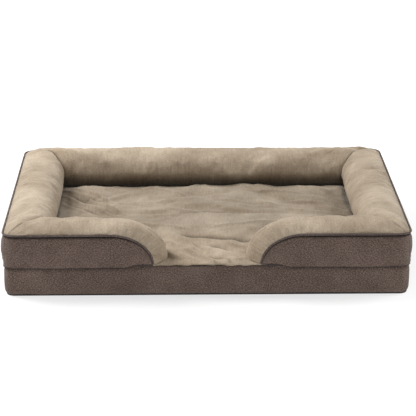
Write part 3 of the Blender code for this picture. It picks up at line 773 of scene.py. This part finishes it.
def lumpy_fill(name, sx, sy, length, ends, seed):
    """A stuffed polyester fill: its section swept along a bolster and closed at both ends.
    ends are how far each end stays back from its cover."""

    def place(u, v):
        inset, rise = closed_section(v, FILL_EASE)
        share = ends[0] + (1 - ends[0] - ends[1]) * u
        if sy < 0:
            x, y, z, _ = arm_point(sx, share, inset, rise, FILL_EASE)
        else:
            x, y, _ = run_spot(sx, sy, share, inset)
            z = settled(x, y, inset, rise)
        return (x, y, BOLSTER_Z + z), (u * length, v * 0.4)

    piece = cloth_grid(name, round(length / FILL_STEP), 34, place)
    with edited(piece) as bm:
        bmesh.ops.remove_doubles(bm, verts=bm.verts, dist=0.0001)
        rim = [edge for edge in bm.edges if edge.is_boundary]
        bmesh.ops.holes_fill(bm, edges=rim, sides=0)
        bmesh.ops.recalc_face_normals(bm, faces=bm.faces)
    for vert in piece.data.vertices:
        vert.co += vert.normal * 0.0015 * noise.noise(vert.co / 0.03 + Vector((seed, 0, 0)))
        vert.co.z = max(vert.co.z, BOLSTER_Z + 0.0006)
    pick(piece)
    bpy.ops.object.shade_smooth()
    return piece


# Each bolster's side, its directions from the middle of the bed, its fill's length and how
# far each end of the fill stays back from the cover, as shares of its length
BOLSTERS = (
    ("left", -1, 0, 0.60, (0.03, 0.04)),
    ("right", 1, 0, 0.60, (0.03, 0.04)),
    ("back", 0, 1, 0.82, (0.025, 0.025)),
    ("front_left", -1, -1, 0.32, (0.04, 0.0)),
    ("front_right", 1, -1, 0.32, (0.04, 0.0)),
)


def bolsters(cloth):
    for index, (side, sx, sy, _, _) in enumerate(BOLSTERS):
        make_cover, make_band = (plush_arm, arm_band) if sy < 0 else (plush_run, band_run)
        cover = make_cover(f"bolster_plush_{side}", sx, sy, COVER_SEED + index)
        finish_piece(cover, cloth["plush"], [f"plush_{side}"])
        band = make_band(f"bolster_band_{side}", sx, sy, BAND_SEED + index)
        finish_piece(band, cloth["woven"], [f"band_{side}"])
    cord = rope("bolster_piping", piping_path(), CORD_R, 12)
    finish_piece(cord, cloth["cord"], ["piping"])
    for seed, (side, sx, sy, length, ends) in enumerate(BOLSTERS, FILL_SEED):
        piece = lumpy_fill(f"bolster_fill_{side}", sx, sy, length, ends, seed)
        finish_piece(piece, cloth["fibre"], [f"fill_{side}"])


def piping_path():
    """Points of the corded edge, from the right arm's end round the back to the left's."""
    points = []
    arm, side, back = 40, 110, 150
    last = acos(0.003 / PIPING_RISE)
    for count in range(arm, 0, -1):
        angle = last * count / arm
        x = ARM_END_X - ARM_REACH * sin(angle)
        z = BOLSTER_Z + PIPING_RISE * cos(angle)
        points.append(Vector((x, PIPING_INSET - OUTER_Y, z)))
    places = [arm_place(1, count / arm, PIPING_INSET) for count in range(arm, -1, -1)]
    places += [side_place(1, count / side, PIPING_INSET) for count in range(1, side + 1)]
    places += [back_place(1 - count / back, PIPING_INSET) for count in range(1, back // 2 + 1)]
    for x, y, _ in places:
        dip = 0.0008 * waver(x, y, 0.07, 41)
        points.append(Vector((x, y, PIPING_Z + dip)))
    mirror = [Vector((-p.x, p.y, p.z)) for p in reversed(points[:-1])]
    return points + mirror


def rope(name, points, radius, sides):
    """A round cord along a path, closed at its ends, with lengths along and round it as
    its flat cloth."""
    mesh = bpy.data.meshes.new(name)
    piece = bpy.data.objects.new(name, mesh)
    bpy.context.collection.objects.link(piece)
    bm = bmesh.new()
    layer = bm.loops.layers.uv.new("cloth")
    along, rings = 0.0, []
    aside = None
    for index, point in enumerate(points):
        before, after = points[max(0, index - 1)], points[min(len(points) - 1, index + 1)]
        heading = (after - before).normalized()
        if aside is None:
            aside = heading.orthogonal().normalized()
        aside = (aside - heading * aside.dot(heading)).normalized()
        up = heading.cross(aside)
        if index:
            along += (point - points[index - 1]).length
        ring = []
        for k in range(sides):
            turn = 2 * pi * k / sides
            spot = point + (aside * cos(turn) + up * sin(turn)) * radius
            ring.append(bm.verts.new(spot))
        rings.append((ring, along))
    for (first, a), (second, b) in zip(rings, rings[1:]):
        for k in range(sides):
            n = (k + 1) % sides
            face = bm.faces.new((first[k], first[n], second[n], second[k]))
            step = 2 * pi * radius / sides
            spots = ((a, k * step), (a, (k + 1) * step), (b, (k + 1) * step), (b, k * step))
            for loop, spot in zip(face.loops, spots):
                loop[layer].uv = spot
    bm.faces.new(list(reversed(rings[0][0])))
    bm.faces.new(rings[-1][0])
    bm.to_mesh(mesh)
    bm.free()
    pick(piece)
    bpy.ops.object.shade_smooth()
    return piece


# Sleep surface and base

# Creases where the plush top is loose over the foam: the ends' x and y in mm, then half
# width and rise in tenths of a millimetre. First a fan at each side of the middle, then
# gathers behind the front edge and the arms' ends.
SLEEP_FOLDS = (
    (-352, 190, -190, 4, 54, 60), (-352, 140, -205, -16, 60, 50), (-330, 206, -196, 72, 56, 46),
    (-345, 156, -210, 6, 78, -34), (-325, 178, -216, 58, 56, -32),
    (-345, 104, -240, -4, 76, -30), (-345, 86, -270, 10, 70, 26),
    (-340, -50, -210, -120, 80, 28), (-150, 215, -40, 140, 80, 26),
    (340, 147, 240, 235, 65, 32), (345, 110, 210, 190, 65, 36), (340, 50, 200, 100, 75, 34),
    (345, -20, 180, 30, 75, 34), (335, -100, 190, -50, 80, 30), (250, 150, 100, 185, 70, 28),
    (180, 60, 50, 110, 80, 26), (-120, 50, 10, 0, 80, 26), (-180, -80, -40, -120, 80, 28),
    (160, -60, 20, -110, 80, 28),
    (-60, -160, 40, -190, 110, -50), (30, -190, 115, -186, 110, -45),
    (-60, -270, -5, -306, 75, 50), (-10, -300, 22, -338, 60, 40), (-5, -296, 44, -312, 70, -40),
    (40, -308, 58, -338, 55, -36), (-110, -200, -70, -245, 90, 45),
    (-90, -285, -55, -320, 70, 34), (50, -225, 110, -245, 90, 40),
    (75, -280, 105, -318, 70, 32), (108, -200, 114, -330, 70, -50),
    (-112, -190, -112, -330, 70, -50), (0, -235, 55, -262, 90, -36),
    (-30, -215, -5, -262, 80, -30),
)


def sleep_surface(material):
    """The plush top that the pet lies on, with its tongue over the front edge."""
    tuck_x, tuck_y = 0.009, 0.007
    well_x, well_y = SLEEP_BOX[1].x + tuck_x, SLEEP_BOX[1].y + tuck_y
    front = SLEEP_BOX[0].y
    tongue = ENTRANCE_HALF + 0.012
    step = 0.0063
    length, depth = 2 * well_x, well_y - front
    top = SLEEP_BOX[1].z

    def place(u, v):
        x, y = (u - 0.5) * length, front + v * depth
        return Vector((x, y, top)), (x, y)

    piece = cloth_grid("sleep_cover", round(length / step), round(depth / step), place)
    with edited(piece) as bm:
        spare = [face for face in bm.faces
                 if abs(face.calc_center_median().x) > tongue
                 and face.calc_center_median().y < -well_y - step / 2]
        bmesh.ops.delete(bm, geom=spare, context="FACES")
    rim = rim_of(piece)
    for vert in piece.data.vertices:
        x, y = vert.co.x, vert.co.y
        if vert.index in rim:
            continue
        inner = min(well_x - abs(x), well_y - y, y - front)
        low_front = smooth((y - front) / 0.030)
        vert.co.z += 0.0060 * smooth(inner / 0.012) * (0.45 + 0.55 * low_front)
        vert.co.z += 0.0020 * waver(x, y, 0.09, 3) * low_front
        lip = (y - front) / 0.016
        vert.co.y -= 0.0040 * sin(pi * min(1.0, lip)) * (1 + 0.7 * waver(x, 0, 0.03, 8))
    face_out(piece, lambda point: point - Vector((0, 0, 1)))
    swell(piece, pressure=0.5, spare=0.03, cap=0.006, bend=0.5)
    finer(piece)
    folds = [((ax / 1000, ay / 1000), (bx / 1000, by / 1000), width / 10000 * FOLD_WIDTH,
              rise / 10000 * FOLD_RISE) for ax, ay, bx, by, width, rise in SLEEP_FOLDS]

    # Painted shade: darker behind the front part of the sleep surface, and much darker in the
    # crevice along the bolsters' walls.
    def painted_shade(spot):
        wall = min(well_x - tuck_x - abs(spot.x), well_y - 0.004 - spot.y)
        painted_back_shade = 0.42 * smooth((spot.y + 0.27) / 0.22)
        return painted_back_shade + 0.7 * (1 - smooth(wall / 0.016))

    work_in(piece, SLEEP_T, 0.0012, (0.035, 0.035), 5, folds, painted_shade)
    for vert in piece.data.vertices:
        vert.co.z = max(vert.co.z, LINER_BOX[1].z)
    finish_piece(piece, material, ["sleep_panel"])


def base_path(corners, step=0.006):
    """Points round the base's outline, each with its outward direction and distance.
    corners is a list of (sx, sy, first angle, last angle) turns, joined by straights."""
    points = []
    for sx, sy, first, last in corners:
        turns = max(1, round(abs(last - first) * BASE_R / step))
        for count in range(turns + 1):
            angle = first + (last - first) * count / turns
            nx, ny = sx * cos(angle), sy * sin(angle)
            x = sx * (BASE_X - BASE_R) + BASE_R * nx
            y = sy * (BASE_Y - BASE_R) + BASE_R * ny
            points.append((x, y, nx, ny))
    dense = []
    for a, b in zip(points, points[1:]):
        runs = max(1, round(hypot(b[0] - a[0], b[1] - a[1]) / step))
        for count in range(runs):
            dense.append([p + (q - p) * (count / runs) for p, q in zip(a, b)])
    dense.append(points[-1])
    path, distance, before = [], 0.0, dense[0]
    for x, y, nx, ny in dense:
        distance += hypot(x - before[0], y - before[1])
        path.append((x, y, nx, ny, distance))
        before = (x, y)
    return path


def gusset_run(name, path, z_low, z_high, nodes, material, seed):
    """A strip of the base's side along a path, rounded in at the bottom seam and drawn in
    under the bolsters' lip."""
    length = path[-1][4] - path[0][4]
    height = z_high - z_low
    # The cloth's heights are shifted by hem so that the woven material's darkening falls along
    # the gusset's bottom seam, partly painted contact shadow and partly the seam's own dark
    # line, and along its top, painted shade under the bolsters' lip.
    hem = BAND_LOW - BOTTOM_BOX[1].z

    def place(u, v):
        at = u * (len(path) - 1)
        index = min(int(at), len(path) - 2)
        part = at - index
        x, y, nx, ny, d = [a + (b - a) * part for a, b in zip(path[index], path[index + 1])]
        z = z_low + height * v
        round_in = 0.0050 * (1 - smooth((z - BOTTOM_BOX[1].z) / 0.011)) ** 2
        under = 0.0045 * smooth((z - BASE_TOP + 0.011) / 0.007)
        if abs(x) < ENTRANCE_HALF + 0.03 and y < 0:
            under *= smooth((abs(x) - ENTRANCE_HALF + 0.012) / 0.030)
            under += 0.0020 * smooth((z - BASE_TOP + 0.004) / 0.004)
        puff = 0.0010 * sin(pi * v) * (1 + 0.8 * waver(d, z, 0.06, seed))
        push = puff - round_in - under - BAND_EASE
        sag = 0.0013 * waver(d, 1, 0.035, seed) * v if y < 0 else 0.0
        return Vector((x + nx * push, y + ny * push, z + sag)), (d, z + hem)

    piece = blown(name, length, height, place,
                  lambda point: Vector((point.x * 0.5, point.y * 0.5, point.z)),
                  pressure=0.4, spare=0.012, cap=0.002, step=BAND_STEP, inward=0.001)
    work_in(piece, BAND_T, 0.0005, (0.035, 0.018), seed)
    finish_piece(piece, material, nodes)


def turn_out(piece):
    """Turn a closed piece's faces outwards."""
    with edited(piece) as bm:
        bmesh.ops.recalc_face_normals(bm, faces=bm.faces)


def block(piece, height):
    """Close a sheet into a block whose other side lies flat at a height."""
    pick(piece)
    bpy.ops.object.mode_set(mode="EDIT")
    bpy.ops.mesh.select_all(action="SELECT")
    bpy.ops.mesh.extrude_region_move(TRANSFORM_OT_translate={"value": (0, 0, -0.05)})
    bpy.ops.object.mode_set(mode="OBJECT")
    for vert in piece.data.vertices:
        if vert.select:
            vert.co.z = height
    turn_out(piece)


def rounded_plate(name, half_x, half_y, radius, low, high, edge):
    """A plate with round corners whose rim is rounded."""
    piece = primitive(bpy.ops.mesh.primitive_circle_add, name, vertices=96, radius=1.0,
                      fill_type="NGON")
    for vert in piece.data.vertices:
        angle = atan2(vert.co.y, vert.co.x)
        middle = (floor(angle / (pi / 2)) + 0.5) * pi / 2
        sx, sy = copysign(1, cos(middle)), copysign(1, sin(middle))
        x = sx * (half_x - radius) + radius * cos(angle)
        y = sy * (half_y - radius) + radius * sin(angle)
        vert.co = Vector((x, y, low))
    block(piece, high)
    modify(piece, "BEVEL", width=edge, segments=3, limit_method="ANGLE")
    bpy.ops.object.shade_smooth()
    return piece


def underside(cloth):
    """The non-slip bottom cloth, turned up a little all round, and its rubber dots."""
    panel = rounded_plate("bottom_cloth", BASE_X - 0.0035, BASE_Y - 0.0035, BASE_R - 0.002,
                          BOTTOM_BOX[0].z + 0.0006, BOTTOM_BOX[1].z + 0.0030, 0.0012)
    dot_spacing, dot_r = 0.018, 0.0026
    dot = primitive(bpy.ops.mesh.primitive_uv_sphere_add, "grip_dots", segments=10,
                    ring_count=6, radius=dot_r)
    columns = round((BASE_X - 0.022) / dot_spacing)
    rows = round((BASE_Y - 0.022) / dot_spacing)
    for vert in dot.data.vertices:
        vert.co.z = 0.0007 + vert.co.z * 0.0007 / dot_r
        vert.co.x -= columns * dot_spacing
        vert.co.y -= rows * dot_spacing
    repeat(dot, 2 * columns + 1, (dot_spacing, 0, 0))
    repeat(dot, 2 * rows + 1, (0, dot_spacing, 0))
    bpy.ops.object.shade_smooth()
    finish_piece(dot, cloth["rubber"], [])
    finish_piece(panel, cloth["grip"], ["base_bottom_panel"])


def inner_foam(cloth):
    """The egg-crate foam slab in its water-resistant liner."""
    half_x, half_y = BASE_X - 0.013, BASE_Y - 0.013
    low, high = FOAM_BOX[0].z + 0.003, FOAM_BOX[1].z - 0.006
    pitch, deep = 0.060, 0.020

    def place(u, v):
        x, y = (u - 0.5) * 2 * half_x, (v - 0.5) * 2 * half_y
        crate = 0.5 + 0.5 * cos(2 * pi * x / pitch) * cos(2 * pi * y / pitch)
        edge = smooth(min(half_x - abs(x), half_y - abs(y)) / 0.03)
        return Vector((x, y, high - deep * (1 - crate) * edge)), (x, y)

    slab = cloth_grid("foam_slab", 120, 90, place)
    block(slab, low)
    bpy.ops.object.shade_smooth_by_angle(angle=radians(50))
    finish_piece(slab, cloth["foam"], ["base_foam"])
    liner = rounded_plate("foam_liner", half_x + 0.003, half_y + 0.003, 0.006,
                          low - 0.0015, high + 0.003, 0.004)
    finish_piece(liner, cloth["liner"], ["base_liner"])


def base(cloth):
    quarter = pi / 2
    low = BOTTOM_BOX[1].z
    front_sides = base_path([(-1, 1, quarter, 0), (-1, -1, 0, quarter), (1, -1, quarter, 0),
                             (1, 1, 0, quarter)])
    gusset_run("base_gusset", front_sides, low, BASE_TOP,
               ["base_front_panel", "base_left_panel", "base_right_panel"], cloth["woven"], 11)
    back = base_path([(1, 1, quarter, quarter), (-1, 1, quarter, quarter)])
    lower_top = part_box("base_back_panel_lower")[1].z
    upper_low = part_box("base_back_panel_upper")[0].z
    gusset_run("back_strip_lower", back, low, lower_top, ["base_back_panel_lower"],
               cloth["woven"], 12)
    gusset_run("back_strip_upper", back, upper_low, BASE_TOP, ["base_back_panel_upper"],
               cloth["woven"], 13)
    underside(cloth)
    inner_foam(cloth)


# Zip, label and stitching


def strip(name, node, along, across, material, wave=0.0):
    """A flat strip of cloth in the place of a node on the back, standing on its edge."""
    low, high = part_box(node)
    thickness = high.y - low.y
    width = high.x - low.x

    def place(u, v):
        x, z = low.x + width * u, low.z + (high.z - low.z) * v
        sway = wave * waver(x, z, 0.03, 9) * sin(pi * u) if wave else 0.0
        return Vector((x, high.y + sway, z)), (x, z)

    piece = cloth_grid(name, along, across, place)
    face_out(piece, lambda point: point - Vector((0, 1, 0)))
    thicken(piece, thickness)
    finish_piece(piece, material, [node])


def coil(name, node, turn_pitch, material):
    """A nylon zip coil: one filament wound along its side of the zip, flattened."""
    low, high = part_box(node)
    wire = 0.00032
    middle = (low + high) / 2
    deep, wide = (high.y - low.y) / 2 - wire, (high.z - low.z) / 2 - wire
    turns = int((high.x - low.x - 2 * wire) / turn_pitch)
    points = []
    for count in range(turns * 10 + 1):
        angle = 2 * pi * count / 10
        x = low.x + wire + turn_pitch * count / 10
        points.append(Vector((x, middle.y + deep * cos(angle),
                              middle.z + wide * sin(angle))))
    piece = rope(name, points, wire, 5)
    finish_piece(piece, material, [node])


def softened(name, node, width, material, body):
    """A cast or moulded part as it was made, with its edges rounded."""
    piece = frame["nodes"][node].copy()
    piece.data = piece.data.copy()
    piece.name = name
    piece.data.name = name
    piece.hide_render = False
    bpy.context.collection.objects.link(piece)
    for key in list(piece.keys()):
        del piece[key]
    with edited(piece) as bm:
        bmesh.ops.remove_doubles(bm, verts=bm.verts, dist=0.000001)
        bmesh.ops.dissolve_limit(bm, angle_limit=radians(1), verts=bm.verts,
                                 edges=bm.edges)
    modify(piece, "BEVEL", width=width, segments=3, limit_method="ANGLE",
           angle_limit=radians(35))
    bpy.ops.object.shade_smooth_by_angle(angle=radians(40))
    finish_piece(piece, material, [node], body)


def stitch_row(name, start, count, spacing, material):
    """A row of lockstitches along X, each a short thread lying proud of the cloth."""
    piece = primitive(bpy.ops.mesh.primitive_uv_sphere_add, name, segments=6, ring_count=4,
                      radius=1.0)
    for vert in piece.data.vertices:
        x, y, z = vert.co.z, vert.co.y, vert.co.x
        vert.co = start + Vector((x * spacing * STITCH_SHARE, y * THREAD_R, z * THREAD_R))
    turn_out(piece)
    repeat(piece, count, (spacing, 0, 0))
    bpy.ops.object.shade_smooth()
    finish_piece(piece, material, [])


def zip_side(cloth):
    """The zip along the back of the base, its stitching and the care label."""
    for side in ("lower", "upper"):
        strip(f"zip_tape_{side}_strip", f"zip_tape_{side}", 160, 4, cloth["tape"])
        coil(f"zip_coil_{side}_turns", f"zip_coil_{side}", 0.0016, cloth["nylon"])
    for side in ("left", "right"):
        strip(f"zip_tab_{side}", f"zip_end_tab_{side}", 8, 6, cloth["woven"])
        softened(f"zip_end_stop_{side}", f"zip_stop_{side}", 0.0003, cloth["zinc"], "bed")
    softened("slider_body", "zip_slider", 0.00025, cloth["zinc"], "zip_slider")
    softened("slider_pull", "zip_pull", 0.0003, cloth["zinc"], "zip_pull")
    strip("satin_label", "care_label", 14, 10, cloth["label"], wave=0.0005)
    low_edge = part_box("base_back_panel_lower")[1].z
    high_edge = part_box("base_back_panel_upper")[0].z
    spacing, reach = 0.0036, 0.400
    near, far = 0.0026, 0.0075
    count = round(2 * reach / spacing)
    rows = (("lower", low_edge - near), ("lower_outer", low_edge - far),
            ("upper", high_edge + near), ("upper_outer", high_edge + far))
    for side, z in rows:
        out = 0.0005 if "outer" in side else 0.0001
        stitch_row(f"zip_stitches_{side}", Vector((-reach, BASE_Y + out, z)), count, spacing,
                   cloth["thread"])
    label_low, label_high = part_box("care_label")
    count = round((label_high.x - label_low.x - 0.004) / 0.0026)
    stitch_row("label_stitches", Vector((label_low.x + 0.003, label_high.y + 0.0002,
                                         label_high.z - 0.0035)), count, 0.0026,
               cloth["thread"])


# The middle of the bed, which the lamps and the camera look at
AIM = Vector((0, 0, 0.08))


def stage():
    """A pale floor that glows, more dimly near the bed, as painted light; and soft studio
    light.
    """
    floor = primitive(bpy.ops.mesh.primitive_plane_add, "studio_floor", size=60)
    mat, shader = new_material("glowing_white_floor", 0.9, Specular_IOR_Level=0.05,
                                    Base_Color=(0.32, 0.32, 0.32, 1),
                                    Emission_Color=(1, 1, 1, 1))
    # Painted light: the floor glows at 0.63 within 0.38 m of the middle, rising to full glow at
    # 1.1 m, so that the lamps' shadows on it wash out away from the bed.
    at = add(mat, "TexCoord")
    far = add(mat, "VectorMath", (at, "Object"), operation="LENGTH")
    glow = add(mat, "MapRange", Value=(far, "Value"), From_Min=0.38, From_Max=1.1,
               To_Min=0.63, To_Max=1.0)
    feed(shader, "Emission Strength", glow)
    floor.data.materials.append(mat)
    world = bpy.data.worlds.new("studio")
    bpy.context.scene.world = world
    world.use_nodes = True
    sky = world.node_tree.nodes["Background"]
    sky.inputs["Color"].default_value = (1, 1, 1, 1)
    sky.inputs["Strength"].default_value = 0.30
    lights = (
        ("key", (-1.7, 0.5, 1.8), 1.1, 68),
        ("front", (0.3, -3.5, 2.2), 2.2, 32),
        ("right", (3.0, 0.6, 2.5), 1.6, 80),
    )
    for name, spot, size, power in lights:
        bpy.ops.object.light_add(type="AREA", location=spot)
        lamp = bpy.context.object
        lamp.name = name
        put(lamp.data, size=size, energy=power)
        lamp.rotation_euler = (AIM - Vector(spot)).to_track_quat("-Z", "Y").to_euler()
    bpy.context.scene.view_settings.view_transform = "Standard"


def camera():
    elevation, azimuth, distance = radians(18.16), radians(-1.0), 4.261
    away = Vector((sin(azimuth) * cos(elevation),
                   -cos(azimuth) * cos(elevation), sin(elevation)))
    bpy.ops.object.camera_add(location=AIM + away * distance)
    eye = bpy.context.object
    eye.rotation_euler = (-away).to_track_quat("-Z", "Y").to_euler()
    put(eye.data, lens=151.85, sensor_width=36, shift_x=0.0081, shift_y=0.0157)
    bpy.context.scene.camera = eye


def main():
    camera()
    cloth = {
        "woven": woven_heather("melange_weave", "453934", "62524a", "83736a",
                               edges=(BAND_LOW, PIPING_RISE)),
        "plush": brushed_plush("brushed_plush", "857460", "a0917e", "bbac98"),
        "cord": woven_heather("piping_weave", "3c322f", "574b46", "736660", 0.0006),
        "grip": small_grain("grip_cloth", "1c1817", "2c2725"),
        "rubber": small_grain("grip_rubber", "3a3634", "4a4542", roughness=0.6),
        "lining": small_grain("lining_cloth", "3a3330", "4a423e"),
        "foam": small_grain("egg_crate_foam", "d9cb9c", "eadfb8", scale=300.0, roughness=0.95),
        "fibre": small_grain("fibre_filling", "dedcd6", "f2f0ea", scale=90.0, roughness=0.98),
        "liner": small_grain("coated_liner", "c4c4c0", "cfcfcb", scale=200.0, roughness=0.4),
        "tape": ribbed_tape("zip_tape_weave", "2c2521", "4a3f39"),
        "thread": small_grain("polyester_thread", "5b4d46", "7d6d63", scale=1500.0),
        "nylon": small_grain("zip_nylon", "2c2521", "3a322d", scale=500.0, roughness=0.45),
        "zinc": enamelled_zinc("enamelled_zinc", "4a4643", "6a6561"),
        "label": small_grain("label_satin", "dcd9d2", "e8e6e0", scale=900.0, roughness=0.45),
    }
    slots = {entry["node"]: entry["material_slot"] for entry in frame["record"]["subparts"]}
    for name, node in frame["nodes"].items():
        slot = "lining" if slots[name] in ("woven", "plush", "cord", "tape") else slots[name]
        for index in range(len(node.material_slots)):
            node.material_slots[index].material = cloth[slot]
    base(cloth)
    sleep_surface(cloth["plush"])
    bolsters(cloth)
    zip_side(cloth)
    stage()


main()
